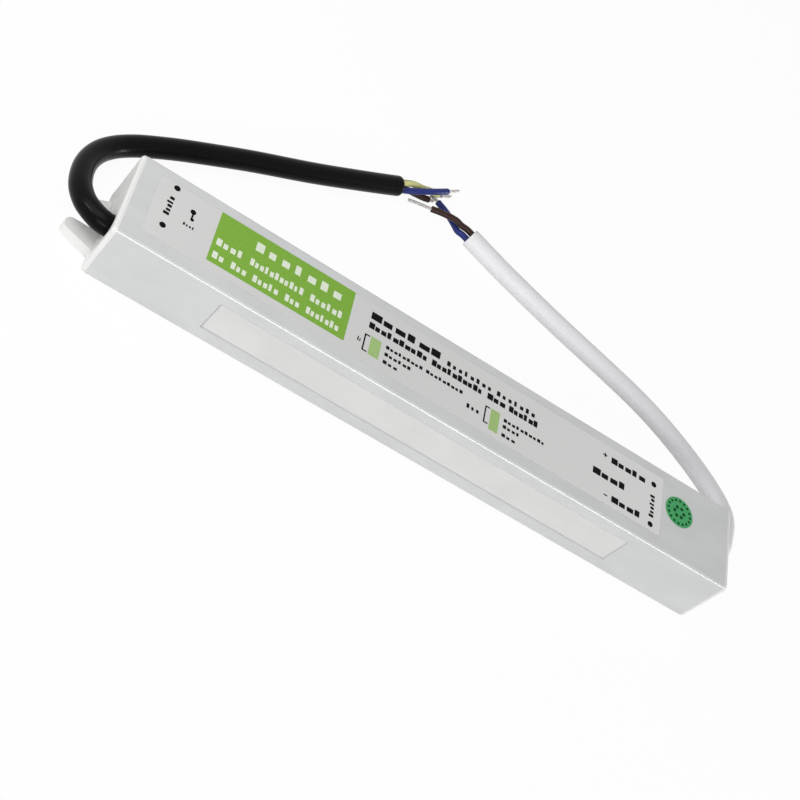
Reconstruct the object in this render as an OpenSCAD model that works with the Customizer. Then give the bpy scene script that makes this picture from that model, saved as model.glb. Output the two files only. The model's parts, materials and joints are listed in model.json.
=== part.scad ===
// Slim potted LED driver: an extruded aluminium tube with a moulded cap on each end, a mains cable
// at the input end, a low-voltage cable at the output end, and a potted circuit board inside.
// Lengths are in millimetres. The origin is the middle of the base. +X points to the output end,
// +Y to the back and +Z out of the label face.

/* [Housing] */
// Width of the aluminium tube
body_w = 30; // [28:0.5:40]
// Height of the aluminium tube
body_h = 20.4; // [19:0.1:26]
// Length of the aluminium tube
tube_l = 205.4; // [190:0.2:260]
// Wall thickness of the tube
wall = 1.4; // [1:0.1:2]
// Radius of the long outer edges of the tube
edge_r = 1; // [0.4:0.1:1.8]
// Reach of the board rails from the side walls
rail_depth = 1.2; // [0.8:0.1:1.6]
// Thickness of each board rail
rail_t = 1; // [0.8:0.1:1.4]

/* [End caps] */
// Thickness of the flange over the end of the tube
flange_t = 1.3; // [1:0.1:2.5]
// Radius of the flange corners
flange_r = 1.3; // [1:0.1:3]
// Rounding of the outer rim of the flange
rim_r = 0.9; // [0.3:0.1:0.9]
// Width of the raised rim around the outer face
rim_w = 1.6; // [1.2:0.1:2.5]
// Depth of the outer face below the rim
dish_depth = 0.9; // [0.4:0.1:0.9]
// Run of the sloped side between the rim and the outer face
dish_run = 3.5; // [1:0.1:4]
// Thickness of the web behind the outer face, inside the tube
web_t = 1.2; // [0.8:0.1:2]
// Length of the skirt inside the tube
skirt_l = 6; // [4:0.5:10]
// Thickness of the skirt
skirt_t = 2.4; // [2:0.1:3]
// Play between a fitted piece and its seat
fit = 0.1; // [0.05:0.05:0.2]
// Outer diameter of the boss that guides the cable
boss_d = 9.5; // [8.2:0.1:11]
// Distance of the cable from the middle of the cap
exit_offset = 5; // [4:0.1:6]
// Height of the cable above the base
exit_z = 10.2; // [9.5:0.1:11]

/* [Fixing tabs] */
// Reach of the tab from the flange
tab_l = 9.2; // [7:0.1:14]
// Reach of its shorter prong, where a screw slides in
short_prong_l = 6.5; // [6:0.1:9]
// Width of the tab at the flange
tab_w = 19.2; // [16:0.1:26]
// Thickness of the tab
tab_t = 3.5; // [2:0.1:4]
// Width of the open screw slot
slot_w = 5.2; // [4.2:0.1:6]
// Land between the flange and the closed end of the slot
slot_land = 0.6; // [0.4:0.1:2]
// Width of each prong at its rounded tip
prong_w = 4.4; // [2.5:0.1:5]

/* [Cables] */
// Outer diameter of each cable jacket
cable_d = 6.5; // [5.4:0.1:7]
// Diameter of an insulated core
core_d = 2.1; // [1.6:0.05:2.15]
// Diameter of the bare strands of a core
strand_d = 1.1; // [0.8:0.1:1.4]
// Length of jacket past the boss, inside the tube
jacket_in = 2; // [1:0.1:3]
// Straight run of a lead between the jacket and its bend
lead_run = 3; // [2:0.1:5]
// Bend radius of a lead
lead_bend = 2; // [1.5:0.1:2.5]

/* [Circuit board] */
// Thickness of the board
board_t = 1.6; // [1:0.1:2]
// Space between the floor of the tube and the board
board_stand = 3.2; // [2.6:0.1:4]
// Space between a skirt and the end of the board
board_end = 1; // [0.4:0.1:3]
// Thickness of the insulating sheet under the board
sheet_t = 0.3; // [0.2:0.1:0.6]
// Diameter of a component pin
pin_d = 0.8; // [0.6:0.1:1]
// Reach of a pin below the board
pin_below = 1.4; // [1:0.1:1.8]

/* [Mains side components] */
// Diameter of the fuse
fuse_d = 8.4; // [7:0.1:9.4]
// Height of the fuse
fuse_h = 7.6; // [6:0.1:10]
// Diameter of the varistor disc
varistor_d = 9; // [7:0.1:10]
// Thickness of the varistor disc
varistor_t = 4; // [3:0.1:5]
// Length of the line filter capacitor, across the board
line_cap_w = 15; // [12:0.5:18]
// Thickness of the line filter capacitor, along the board
line_cap_t = 6; // [5:0.1:8]
// Height of the line filter capacitor
line_cap_h = 10; // [8:0.1:10.5]
// Outer diameter of the line choke ring
ring_d = 14; // [12:0.1:16]
// Hole of the line choke ring
ring_bore = 7.6; // [6.6:0.1:9]
// Height of the line choke ring
ring_h = 5; // [4:0.1:6]
// Thickness of each winding on the line choke
turn_t = 1; // [0.7:0.1:1.3]
// Side of the square base under the line choke
choke_base_w = 17; // [15:0.1:20]
// Thickness of the base under the line choke
choke_base_t = 1.2; // [1:0.1:2]
// Width of the bridge rectifier, across the board
bridge_w = 14.4; // [12:0.1:18]
// Thickness of the bridge rectifier, along the board
bridge_t = 3.6; // [3:0.1:5]
// Height of the bridge rectifier
bridge_h = 10; // [8:0.1:10.5]
// Diameter of the bulk capacitor
bulk_d = 10; // [8:0.1:10.5]
// Length of the bulk capacitor
bulk_l = 20; // [16:0.5:25]
// Diameter of the safety capacitor disc
disc_cap_d = 8; // [6:0.1:9]
// Thickness of the safety capacitor disc
disc_cap_t = 4; // [3:0.1:5]

/* [Switching and output components] */
// Width of a power device
power_w = 10; // [9:0.1:10.6]
// Length of the moulded body of a power device
power_l = 9; // [8:0.1:10]
// Thickness of the moulded body of a power device
power_t = 4.5; // [4:0.1:5]
// Length of the metal tab of a power device
power_tab_l = 6.2; // [5.4:0.1:7]
// Thickness of the metal tab of a power device
power_tab_t = 1.3; // [1:0.1:1.6]
// Hole in the metal tab of a power device
power_hole_d = 3.6; // [3:0.1:4]
// Length of the control chip
chip_l = 5; // [4:0.1:6]
// Width of the control chip
chip_w = 4; // [3.6:0.1:5]
// Height of the control chip
chip_h = 1.7; // [1.4:0.1:2.4]
// Length of the optocoupler
opto_l = 4.6; // [4:0.1:5.4]
// Width of the optocoupler
opto_w = 6.4; // [6:0.1:7]
// Height of the optocoupler
opto_h = 3.6; // [3:0.1:4]
// Length of the transformer core
core_l = 20; // [18:0.5:24]
// Width of the transformer core
core_w = 22; // [20:0.5:23]
// Height of the transformer core
core_h = 8.6; // [8:0.1:9]
// Thickness of the end bars of the transformer core
yoke_t = 3.4; // [3:0.1:4]
// Width of the outer legs of the transformer core
leg_w = 2.8; // [2.4:0.1:3.2]
// Width of the middle leg of the transformer core
middle_w = 6; // [5:0.1:7]
// Height of the middle leg of the transformer core
middle_h = 4.6; // [4:0.1:5]
// Wall thickness of the transformer bobbin
bobbin_t = 0.8; // [0.6:0.1:1]
// Thickness of the bobbin base plate
bobbin_base_t = 1.6; // [1.2:0.1:1.8]
// Reach of the bobbin base plate past the core at each end
bobbin_reach = 2.4; // [2:0.1:4]
// Diameter of an output capacitor
out_cap_d = 8; // [6.3:0.1:8.4]
// Height of an output capacitor
out_cap_h = 10; // [8:0.1:10.5]
// Diameter of the output choke
drum_d = 9; // [8:0.1:12]
// Height of the output choke
drum_h = 9; // [7:0.1:10]
// Thickness of each flange of the output choke core
drum_flange_t = 1.5; // [1:0.1:2]
// Diameter of the post of the output choke core
drum_post_d = 4; // [3:0.1:5]

/* [Labels] */
// Thickness of a label film
film_t = 0.08; // [0.05:0.01:0.2]
// Length of the rating label on the top face
label_l = 174.2; // [150:0.2:180]
// Width of the rating label
label_w = 21.2; // [16:0.2:24]
// Distance of the rating label from the input end of the tube
label_start = 5.4; // [4:0.2:12]
// Distance of the middle of the rating label from the middle of the top face
label_shift = 0.6; // [0:0.1:1]
// Length of the bare label on the front face
side_label_l = 138.6; // [110:0.2:160]
// Height of the bare label on the front face
side_label_h = 11.2; // [8:0.1:14]
// Distance of the bare label from the input end of the tube
side_label_start = 33.2; // [20:0.2:40]
// Height of the lower edge of the bare label above the base
side_label_z = 5; // [3:0.1:6]
// Diameter of the round sticker on the top face
sticker_d = 10.4; // [8:0.1:14]
// Distance of the middle of the round sticker from the output end of the tube
sticker_end = 19; // [10:0.2:24]
// Distance of the round sticker towards the back from the middle of the top face
sticker_shift = 2.5; // [0:0.1:4]

/* [Hidden] */
$fn = 64;

// Space inside the tube
inner_w = body_w - 2 * wall;
inner_h = body_h - 2 * wall;
end_x = tube_l / 2 + flange_t;
face_x = end_x - dish_depth;
web_x = tube_l / 2 - web_t;
skirt_x = tube_l / 2 - skirt_l;
skirt_w = inner_w - 2 * fit;
skirt_h = inner_h - 2 * fit;

// Circuit board between its rails
board_z = wall + board_stand;
board_top = board_z + board_t;
board_l = 2 * (skirt_x - board_end);
board_w = inner_w - 2 * fit;
bare_margin = 2;

// Leads from the jackets to the board
jacket_x = skirt_x - jacket_in;
lead_x = jacket_x - lead_run - lead_bend;
lead_pitch = core_d + fit;
earth_step = core_d + 2 * fit;
lead_zone = board_l / 2 - lead_x + core_d + earth_step;

// Components stand in stations along the board with equal gaps between them
power_total_l = power_l + power_tab_l;
power_foot = 2.6;
disc_lift = 0.6;
bulk_foot = 1.8;
bobbin_l = core_l + 2 * bobbin_reach;
chip_pin = 1;
opto_pin = 0.6;
chip_leg_w = 0.45;
chip_leg_t = 0.3;
station_l = [
    max(fuse_d, varistor_t),
    line_cap_t,
    choke_base_w,
    bridge_t,
    max(bulk_l + bulk_foot, disc_cap_t),
    power_total_l + power_foot,
    bobbin_l,
    power_total_l + power_foot,
    drum_d
];
function total(list, last) = last < 0 ? 0 : list[last] + total(list, last - 1);
station_count = len(station_l);
station_room = board_l - 2 * lead_zone;
station_gap = (station_room - total(station_l, station_count - 1)) / (station_count + 1);
function station_x(i) = -station_room / 2 + station_gap * (i + 1) + total(station_l, i - 1);
function station_mid(i) = station_x(i) + station_l[i] / 2;

// Two lanes, in front of and behind the middle of the board
lane = board_w / 4;

fuse_at = [station_mid(0), lane];
varistor_at = [station_mid(0), -lane];
line_cap_at = [station_mid(1), 0];
choke_at = [station_mid(2), 0];
bridge_at = [station_mid(3), 0];
bulk_at = [station_x(4) + bulk_foot, -lane];
disc_cap_at = [station_mid(4), lane];
transistor_at = [station_x(5), lane];
control_at = [station_x(5) + station_l[5] / 4, -lane];
opto_at = [station_x(5) + station_l[5] * 3 / 4, -lane];
transformer_at = [station_mid(6), 0];
rectifier_at = [station_x(7), lane];
out_cap_a_at = [station_x(7) + out_cap_d / 2, -lane];
out_cap_b_at = [station_x(7) + station_l[7] - out_cap_d / 2, -lane];
drum_at = [station_mid(8), 0];

// Pins: each list is used by its component and by the holes of the board
pair_pitch = 5;
choke_pitch = 10;
bridge_pitch = 3.8;
power_pitch = 2.54;
can_pitch = 3.5;
bobbin_pitch = 4.6;
bobbin_pin_inset = 1;
function spread(at, list) = [for (p = list) at + p];
fuse_pins = spread(fuse_at, [[0, -pair_pitch / 2], [0, pair_pitch / 2]]);
varistor_pins = spread(varistor_at, [[0, -pair_pitch / 2], [0, pair_pitch / 2]]);
line_cap_pins = spread(line_cap_at, [[0, -line_cap_w / 3], [0, line_cap_w / 3]]);
choke_pins = spread(choke_at, [for (x = [-1, 1], y = [-1, 1]) [x, y] * choke_pitch / 2]);
bridge_pins = spread(bridge_at, [for (i = [-1.5 : 1.5]) [0, i * bridge_pitch]]);
bulk_pins = spread(bulk_at, [[-bulk_foot / 2, -pair_pitch / 2], [-bulk_foot / 2, pair_pitch / 2]]);
disc_cap_pins = spread(disc_cap_at, [[0, -pair_pitch / 2], [0, pair_pitch / 2]]);
power_pins = [for (i = [-1 : 1]) [power_foot / 2, i * power_pitch]];
transistor_pins = spread(transistor_at, power_pins);
rectifier_pins = spread(rectifier_at, power_pins);
bobbin_pin_x = bobbin_l / 2 - bobbin_pin_inset;
bobbin_pins = spread(
    transformer_at,
    [for (x = [-bobbin_pin_x, bobbin_pin_x], i = [-1.5 : 1.5]) [x, i * bobbin_pitch]]
);
can_pins = [[0, -can_pitch / 2], [0, can_pitch / 2]];
out_cap_a_pins = spread(out_cap_a_at, can_pins);
out_cap_b_pins = spread(out_cap_b_at, can_pins);
drum_pins = spread(drum_at, can_pins);
all_pins = concat(
    fuse_pins, varistor_pins, line_cap_pins, choke_pins, bridge_pins, bulk_pins, disc_cap_pins,
    transistor_pins, bobbin_pins, rectifier_pins, out_cap_a_pins, out_cap_b_pins, drum_pins
);

// Cable routes, chosen by hand: X from the rim of the cap, Y and Z in the part's frame
jacket_sides = 12;
core_sides = 8;
lie_z = (cable_d + fit) / 2;
input_route = [
    [dish_depth, -exit_offset, exit_z], [-0.3, -exit_offset, exit_z], [-1.6, -4.75, 10.15],
    [-2.8, -4.2, 9.95], [-4, -3.3, 9.6], [-5.4, -2.1, 9.2], [-6.7, -0.7, 8.7], [-8.2, 1.8, 7.95],
    [-9.45, 4.75, 7.2], [-10.2, 8.1, 6.45], [-10.55, 11.9, 5.7], [-10.45, 15.6, 5], [-9.75, 19.5, 4.4],
    [-8.5, 23.1, 3.95], [-6.8, 26.2, 3.6], [-4, 29.8, lie_z], [0, 33.4, lie_z], [4.2, 36.5, lie_z],
    [11, 41, lie_z], [18.1, 45.3, lie_z], [33, 53.9, lie_z], [48.5, 62.1, lie_z], [56.5, 66.5, lie_z],
    [64.6, 71.2, lie_z], [72.9, 76.1, lie_z], [81, 81, lie_z]
];
output_route = [
    [-dish_depth, exit_offset, exit_z], [0.3, exit_offset, exit_z], [1.6, 5.25, 10.15],
    [2.8, 5.9, 9.95], [4, 6.9, 9.6], [5.3, 8.6, 9.1], [6.6, 11, 8.5], [7.6, 13.7, 7.8],
    [8.4, 16.4, 7.1], [9.3, 19.2, 6.4], [10.1, 22.5, 5.6], [10.5, 25.9, 4.8], [10, 29.3, 4.1],
    [8.5, 32.5, 3.6], [6, 35.6, lie_z], [2.6, 38.5, lie_z], [-3.6, 42.9, lie_z], [-12.5, 48.2, lie_z],
    [-21.3, 52.5, lie_z], [-30, 55.8, lie_z], [-38.7, 58.5, lie_z], [-47.3, 61, lie_z],
    [-64.4, 66, lie_z], [-81.5, 71.7, lie_z], [-90, 74.9, lie_z], [-98.8, 78.5, lie_z]
];

// Bared cores: place in the end of the jacket, as side and height, then the route of each core
core_start = 2;
input_blue_seat = [-1.2, -0.3];
input_earth_seat = [0.75, 1];
input_brown_seat = [0.8, -1.2];
output_brown_seat = [-0.95, 0.7];
output_blue_seat = [0.95, -0.7];
input_blue_route = [[86.2, 82.2, 3.8], [89, 83.6, 4.6], [93.1, 86.3, 5.1], [97.3, 89.7, 5.1]];
input_earth_route = [[85.4, 84.8, 4], [89.3, 86.5, 3.3], [92.4, 88, 2.9], [95.6, 88.6, 2.8]];
input_brown_route = [[85.3, 83.8, 1.6], [88.3, 84.6, 1.3], [91, 85.2, 1.2], [93.3, 86, 1.15]];
output_brown_route = [[-103, 80.3, 4.1], [-105.4, 80.8, 4.3], [-109.5, 81.2, 3.5], [-113.9, 81, 2.6]];
output_blue_route = [[-102.7, 79.8, 1.7], [-104.6, 82.2, 1.4], [-107.6, 85.3, 1.1], [-111.6, 87.5, 1.1]];
input_blue_bare = [[99.4, 91.6, 5], [101.3, 93.4, 4.9]];
input_earth_bare = [[98, 90.2, 2.5], [100.2, 92, 2.2]];
input_brown_bare = [[95, 86.5, 1]];
output_brown_bare = [[-118, 80.4, 2.2], [-122, 79.9, 1.6]];
output_blue_bare = [[-113.4, 88.4, 0.9], [-114.4, 88.8, 0.7]];

// Vectors along a route
function unit(v) = v / norm(v);
function heading(path, i) =
    i == 0 ? unit(path[1] - path[0]) :
    i == len(path) - 1 ? unit(path[i] - path[i - 1]) :
    unit(unit(path[i + 1] - path[i]) + unit(path[i] - path[i - 1]));
function sideways(d) = unit(cross([0, 0, 1], d));
function moved(path, x) = [for (p = path) p + [x, 0, 0]];
function last(path) = path[len(path) - 1];

// A core starts on the end face of its jacket, runs straight out and then follows its own points
function core_path(jacket, seat, path) =
    let (d = heading(jacket, len(jacket) - 1))
    let (s = sideways(d))
    let (p = last(jacket) + seat[0] * s + seat[1] * cross(d, s))
    concat([p, p + core_start * d], path);

// Bare strands continue from the end of their core in its own direction
function bare_path(core, path) =
    let (p = last(core))
    let (d = heading(core, len(core) - 1))
    concat([p, p + d * strand_d], path);

input_jacket = moved(input_route, -end_x);
output_jacket = moved(output_route, end_x);
input_blue = core_path(input_jacket, input_blue_seat, moved(input_blue_route, -end_x));
input_earth = core_path(input_jacket, input_earth_seat, moved(input_earth_route, -end_x));
input_brown = core_path(input_jacket, input_brown_seat, moved(input_brown_route, -end_x));
output_brown = core_path(output_jacket, output_brown_seat, moved(output_brown_route, end_x));
output_blue = core_path(output_jacket, output_blue_seat, moved(output_blue_route, end_x));

// Colours of the materials
aluminium = [0.84, 0.85, 0.86];
white_plastic = [0.93, 0.93, 0.91];
black_rubber = [0.1, 0.1, 0.1];
white_rubber = [0.88, 0.88, 0.88];
blue_pvc = [0.2, 0.26, 0.56];
brown_pvc = [0.33, 0.22, 0.18];
earth_pvc = [0.78, 0.8, 0.36];
tinned = [0.72, 0.72, 0.74];
board_green = [0.12, 0.4, 0.22];
film_white = [0.9, 0.9, 0.9];
sticker_green = [0.16, 0.59, 0.32];
compound_grey = [0.3, 0.31, 0.33];
black_resin = [0.12, 0.12, 0.13];
copper = [0.72, 0.45, 0.2];
ferrite = [0.22, 0.22, 0.23];

// Shared shapes

// Turns a flat outline into the YZ plane and extrudes it along +X from x
module along_x(x, length) {
    translate([x, 0, 0]) rotate([90, 0, 90]) linear_extrude(length) children();
}

// Cylinder along +X from the point at
module rod_x(at, d, length) {
    translate(at) rotate([0, 90, 0]) cylinder(d = d, h = length);
}

// Rectangle with round corners, standing on the base line
module round_rect(w, h, r) {
    translate([-w / 2 + r, 0]) square([w - 2 * r, h]);
    translate([-w / 2, r]) square([w, h - 2 * r]);
    for (x = [r - w / 2, w / 2 - r], y = [r, h - r]) translate([x, y]) circle(r);
}

// Rectangle standing on the base line
module plain_rect(w, h) {
    translate([-w / 2, 0]) square([w, h]);
}

// Box centred on at, standing on the height z
module box_on(at, size, z) {
    translate([at[0] - size[0] / 2, at[1] - size[1] / 2, z]) cube(size);
}

// Pins from inside a component down through the board
module pins(list, up) {
    for (p = list) {
        translate([p[0], p[1], board_z - pin_below]) cylinder(d = pin_d, h = board_t + pin_below + up);
    }
}

// Tube swept along a path with flat ends
module swept_tube(path, d, sides) {
    rings = len(path);
    points = [
        for (i = [0 : rings - 1])
            let (t = heading(path, i))
            let (s = sideways(t))
            let (u = cross(t, s))
            for (k = [0 : sides - 1])
                let (a = 360 * k / sides)
                path[i] + d / 2 * (cos(a) * s + sin(a) * u)
    ];
    walls = [
        for (i = [0 : rings - 2], k = [0 : sides - 1])
            let (a = i * sides + k)
            let (b = i * sides + (k + 1) % sides)
            each [[a, a + sides, b], [b, a + sides, b + sides]]
    ];
    first_face = [for (k = [0 : sides - 1]) k];
    last_face = [for (k = [sides - 1 : -1 : 0]) (rings - 1) * sides + k];
    polyhedron(points, concat(walls, [first_face, last_face]));
}

// Housing

// Board rails along both side walls
module rail_outlines(grow) {
    for (side = [-1, 1], z = [board_z - rail_t, board_top]) {
        translate([side * (inner_w - rail_depth) / 2, z - grow])
            translate([-rail_depth / 2 - grow, 0]) square([rail_depth + 2 * grow, rail_t + 2 * grow]);
    }
}

module housing() {
    color(aluminium) along_x(-tube_l / 2, tube_l) {
        difference() {
            round_rect(body_w, body_h, edge_r);
            translate([0, wall]) plain_rect(inner_w, inner_h);
        }
        rail_outlines(0);
    }
}

// End caps

// Section of a plate of width w with its outer corners rounded, standing on its inner face
module rim_section(w) {
    plain_rect(w, flange_t - rim_r);
    plain_rect(w - 2 * rim_r, flange_t);
    intersection() {
        for (x = [rim_r - w / 2, w / 2 - rim_r]) translate([x, flange_t - rim_r]) circle(rim_r);
        plain_rect(w, flange_t);
    }
}

// Flange with its outer face towards +Z, its width along X and its height along Y
module flange() {
    translate([0, flange_r, 0]) rotate([90, 0, 180])
        linear_extrude(body_h - 2 * flange_r) rim_section(body_w);
    translate([-body_w / 2 + flange_r, body_h / 2, 0]) rotate([90, 0, 90])
        linear_extrude(body_w - 2 * flange_r) rim_section(body_h);
    for (x = [-1, 1], y = [flange_r, body_h - flange_r]) {
        translate([x * (body_w / 2 - flange_r), y, 0]) rotate_extrude() intersection() {
            rim_section(2 * flange_r);
            square([flange_r, flange_t]);
        }
    }
}

// Section of width w of the hollow in the outer face, whose sides slope down to its floor
module dish_section(w) {
    floor_w = w - 2 * dish_run;
    polygon([
        [-w / 2, flange_t + fit], [-w / 2, flange_t], [-floor_w / 2, flange_t - dish_depth],
        [floor_w / 2, flange_t - dish_depth], [w / 2, flange_t], [w / 2, flange_t + fit]
    ]);
}

// Hollow in the outer face, inside the rim of the flange
module dish() {
    intersection() {
        rotate([90, 0, 180]) linear_extrude(body_h) dish_section(body_w - 2 * rim_w);
        translate([-body_w / 2, body_h / 2, 0]) rotate([90, 0, 90])
            linear_extrude(body_w) dish_section(body_h - 2 * rim_w);
    }
}

// Half of the fixing tab: root at the flange, round tip beside the slot
module prong_outline(reach_x) {
    tip = [reach_x - prong_w / 2, (slot_w + prong_w) / 2];
    root = [0, tab_w / 2];
    reach = root - tip;
    turn = atan2(reach[1], reach[0]) - acos(prong_w / 2 / norm(reach));
    touch = tip + prong_w / 2 * [cos(turn), sin(turn)];
    polygon([[-flange_t, 0], [tip[0], 0], tip, touch, root, [-flange_t, tab_w / 2]]);
    translate(tip) circle(prong_w / 2);
}

module tab() {
    slot_x = slot_land + slot_w / 2;
    linear_extrude(tab_t) difference() {
        union() {
            prong_outline(tab_l);
            mirror([0, 1]) prong_outline(short_prong_l);
        }
        translate([slot_x, 0]) circle(slot_w / 2);
        translate([slot_x, -slot_w / 2]) square([tab_l, slot_w]);
    }
}

// Space inside the skirt
module hollow_outline() {
    translate([0, wall + fit + skirt_t]) plain_rect(skirt_w - 2 * skirt_t, skirt_h - 2 * skirt_t);
}

module skirt_outline() {
    difference() {
        translate([0, wall + fit]) plain_rect(skirt_w, skirt_h);
        hollow_outline();
        rail_outlines(fit);
        for (side = [-1, 1]) {
            translate([side * (inner_w - rail_depth - fit) / 2, board_z])
                translate([-(rail_depth + fit) / 2, 0]) square([rail_depth + fit, board_t]);
        }
    }
}

// The cap of the output end; the input end has the same cap, turned half round
module end_cap() {
    difference() {
        union() {
            translate([tube_l / 2, 0, 0]) rotate([90, 0, 90]) difference() {
                flange();
                dish();
            }
            along_x(web_x, web_t) hollow_outline();
            along_x(skirt_x, skirt_l) skirt_outline();
            rod_x([skirt_x, exit_offset, exit_z], boss_d, skirt_l);
            translate([end_x, 0, 0]) tab();
        }
        rod_x([skirt_x - fit, exit_offset, exit_z], cable_d, skirt_l + flange_t + 2 * fit);
    }
}

module output_end_cap() {
    color(white_plastic) end_cap();
}

module input_end_cap() {
    color(white_plastic) rotate([0, 0, 180]) end_cap();
}

// Cables

// Stretch of jacket inside the cap of the output end
module jacket_stub() {
    rod_x([jacket_x, exit_offset, exit_z], cable_d, face_x - jacket_x);
}

module input_cable() {
    color(black_rubber) {
        swept_tube(input_jacket, cable_d, jacket_sides);
        rotate([0, 0, 180]) jacket_stub();
    }
}

module output_cable() {
    color(white_rubber) {
        swept_tube(output_jacket, cable_d, jacket_sides);
        jacket_stub();
    }
}

module input_core_blue() {
    color(blue_pvc) swept_tube(input_blue, core_d, core_sides);
}

module input_core_brown() {
    color(brown_pvc) swept_tube(input_brown, core_d, core_sides);
}

module input_core_earth() {
    color(earth_pvc) swept_tube(input_earth, core_d, core_sides);
}

module output_core_brown() {
    color(brown_pvc) swept_tube(output_brown, core_d, core_sides);
}

module output_core_blue() {
    color(blue_pvc) swept_tube(output_blue, core_d, core_sides);
}

module strands(core, path, x) {
    color(tinned) swept_tube(bare_path(core, moved(path, x)), strand_d, core_sides);
}

module input_strands_blue() {
    strands(input_blue, input_blue_bare, -end_x);
}

module input_strands_brown() {
    strands(input_brown, input_brown_bare, -end_x);
}

module input_strands_earth() {
    strands(input_earth, input_earth_bare, -end_x);
}

module output_strands_brown() {
    strands(output_brown, output_brown_bare, end_x);
}

module output_strands_blue() {
    strands(output_blue, output_blue_bare, end_x);
}

// Leads inside the tube

// Lead of the output end: out of the jacket along -X, then down to the board
module lead(y, z, run) {
    turn_x = jacket_x - run;
    rod_x([turn_x, y, z], core_d, run);
    translate([turn_x, y, z - lead_bend]) rotate([90, 0, 0])
        rotate_extrude(angle = 90, start = 90) translate([lead_bend, 0]) circle(d = core_d);
    translate([turn_x - lead_bend, y, board_top]) cylinder(d = core_d, h = z - lead_bend - board_top);
}

module positive_lead() {
    color(brown_pvc) lead(exit_offset + lead_pitch / 2, exit_z, lead_run);
}

module negative_lead() {
    color(blue_pvc) lead(exit_offset - lead_pitch / 2, exit_z, lead_run);
}

module line_lead() {
    color(brown_pvc) rotate([0, 0, 180]) lead(exit_offset + lead_pitch / 2, exit_z - core_d / 4, lead_run);
}

module neutral_lead() {
    color(blue_pvc) rotate([0, 0, 180]) lead(exit_offset - lead_pitch / 2, exit_z - core_d / 4, lead_run);
}

module earth_lead() {
    color(earth_pvc) rotate([0, 0, 180])
        lead(exit_offset, exit_z + core_d * 3 / 4, lead_run + earth_step);
}

// Circuit board

module board_blank() {
    box_on([0, 0], [board_l, board_w, board_t], board_z);
}

module circuit_board() {
    color(board_green) difference() {
        board_blank();
        for (p = all_pins) {
            translate([p[0], p[1], board_z - fit]) cylinder(d = pin_d, h = board_t + 2 * fit);
        }
    }
}

module insulating_sheet() {
    color(film_white) box_on([0, 0], [board_l, inner_w - 2 * bare_margin, sheet_t], wall);
}

// Components on the mains side

module fuse() {
    color(black_resin) {
        translate([fuse_at[0], fuse_at[1], board_top]) cylinder(d = fuse_d, h = fuse_h);
        pins(fuse_pins, fit);
    }
}

// Disc standing on its edge, with its pins up into it
module standing_disc(at, d, t, list) {
    rod_x([at[0] - t / 2, at[1], board_top + disc_lift + d / 2], d, t);
    pins(list, disc_lift + d / 2);
}

module varistor() {
    color("steelblue") standing_disc(varistor_at, varistor_d, varistor_t, varistor_pins);
}

module line_capacitor() {
    color("goldenrod") {
        box_on(line_cap_at, [line_cap_t, line_cap_w, line_cap_h], board_top);
        pins(line_cap_pins, fit);
    }
}

module line_choke_base() {
    color(black_resin) {
        box_on(choke_at, [choke_base_w, choke_base_w, choke_base_t], board_top);
        pins(choke_pins, fit);
    }
}

// Height of the underside of the ring, which lies on its windings
ring_z = board_top + choke_base_t + turn_t;

module ring_section() {
    translate([ring_bore / 2, 0]) square([(ring_d - ring_bore) / 2, ring_h]);
}

module line_choke_core() {
    color(ferrite) translate([choke_at[0], choke_at[1], ring_z]) rotate_extrude() ring_section();
}

// One winding wraps the ring over a sector
module ring_winding(start) {
    sector = 120;
    color(copper) translate([choke_at[0], choke_at[1], ring_z])
        rotate_extrude(angle = sector, start = start - sector / 2) difference() {
            translate([ring_bore / 2 - turn_t, -turn_t])
                square([(ring_d - ring_bore) / 2 + 2 * turn_t, ring_h + 2 * turn_t]);
            ring_section();
        }
}

module line_choke_winding_a() {
    ring_winding(90);
}

module line_choke_winding_b() {
    ring_winding(270);
}

module bridge_rectifier() {
    color(black_resin) {
        box_on(bridge_at, [bridge_t, bridge_w, bridge_h], board_top);
        pins(bridge_pins, fit);
    }
}

// Bulk capacitor lying on the board, with its pins bent down
module bulk_capacitor() {
    axis_z = board_top + bulk_d / 2;
    color("midnightblue") {
        rod_x([bulk_at[0], bulk_at[1], axis_z], bulk_d, bulk_l);
        pins(bulk_pins, bulk_d / 2);
        for (p = bulk_pins) {
            translate([p[0], p[1], axis_z]) sphere(d = pin_d);
            rod_x([p[0], p[1], axis_z], pin_d, bulk_foot / 2 + fit);
        }
    }
}

module safety_capacitor() {
    color("steelblue") standing_disc(disc_cap_at, disc_cap_d, disc_cap_t, disc_cap_pins);
}

// Switching and output components

// Power device lying on its metal tab, with three pins bent down
module power_device(at, list) {
    pin_z = board_top + power_t / 2;
    body_x = at[0] + power_foot;
    translate([body_x, at[1] - power_w / 2, board_top]) cube([power_l, power_w, power_t]);
    difference() {
        translate([body_x, at[1] - power_w / 2, board_top]) cube([power_total_l, power_w, power_tab_t]);
        translate([body_x + power_l + power_tab_l / 2, at[1], board_top - fit])
            cylinder(d = power_hole_d, h = power_tab_t + 2 * fit);
    }
    pins(list, power_t / 2);
    for (p = list) {
        translate([p[0], p[1], pin_z]) sphere(d = pin_d);
        rod_x([p[0], p[1], pin_z], pin_d, power_foot / 2 + fit);
    }
}

module switching_transistor() {
    color(black_resin) power_device(transistor_at, transistor_pins);
}

module output_rectifier() {
    color(black_resin) power_device(rectifier_at, rectifier_pins);
}

// Small chip with flat legs on the board
module legged_chip(at, size, leg_count, leg_l) {
    pitch = size[0] / leg_count;
    box_on(at, size, board_top);
    for (i = [0 : leg_count - 1]) {
        x = at[0] - size[0] / 2 + pitch * (i + 0.5);
        box_on([x, at[1]], [chip_leg_w, size[1] + 2 * leg_l, chip_leg_t], board_top);
    }
}

module control_chip() {
    color(black_resin) legged_chip(control_at, [chip_l, chip_w, chip_h], 4, chip_pin);
}

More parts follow.
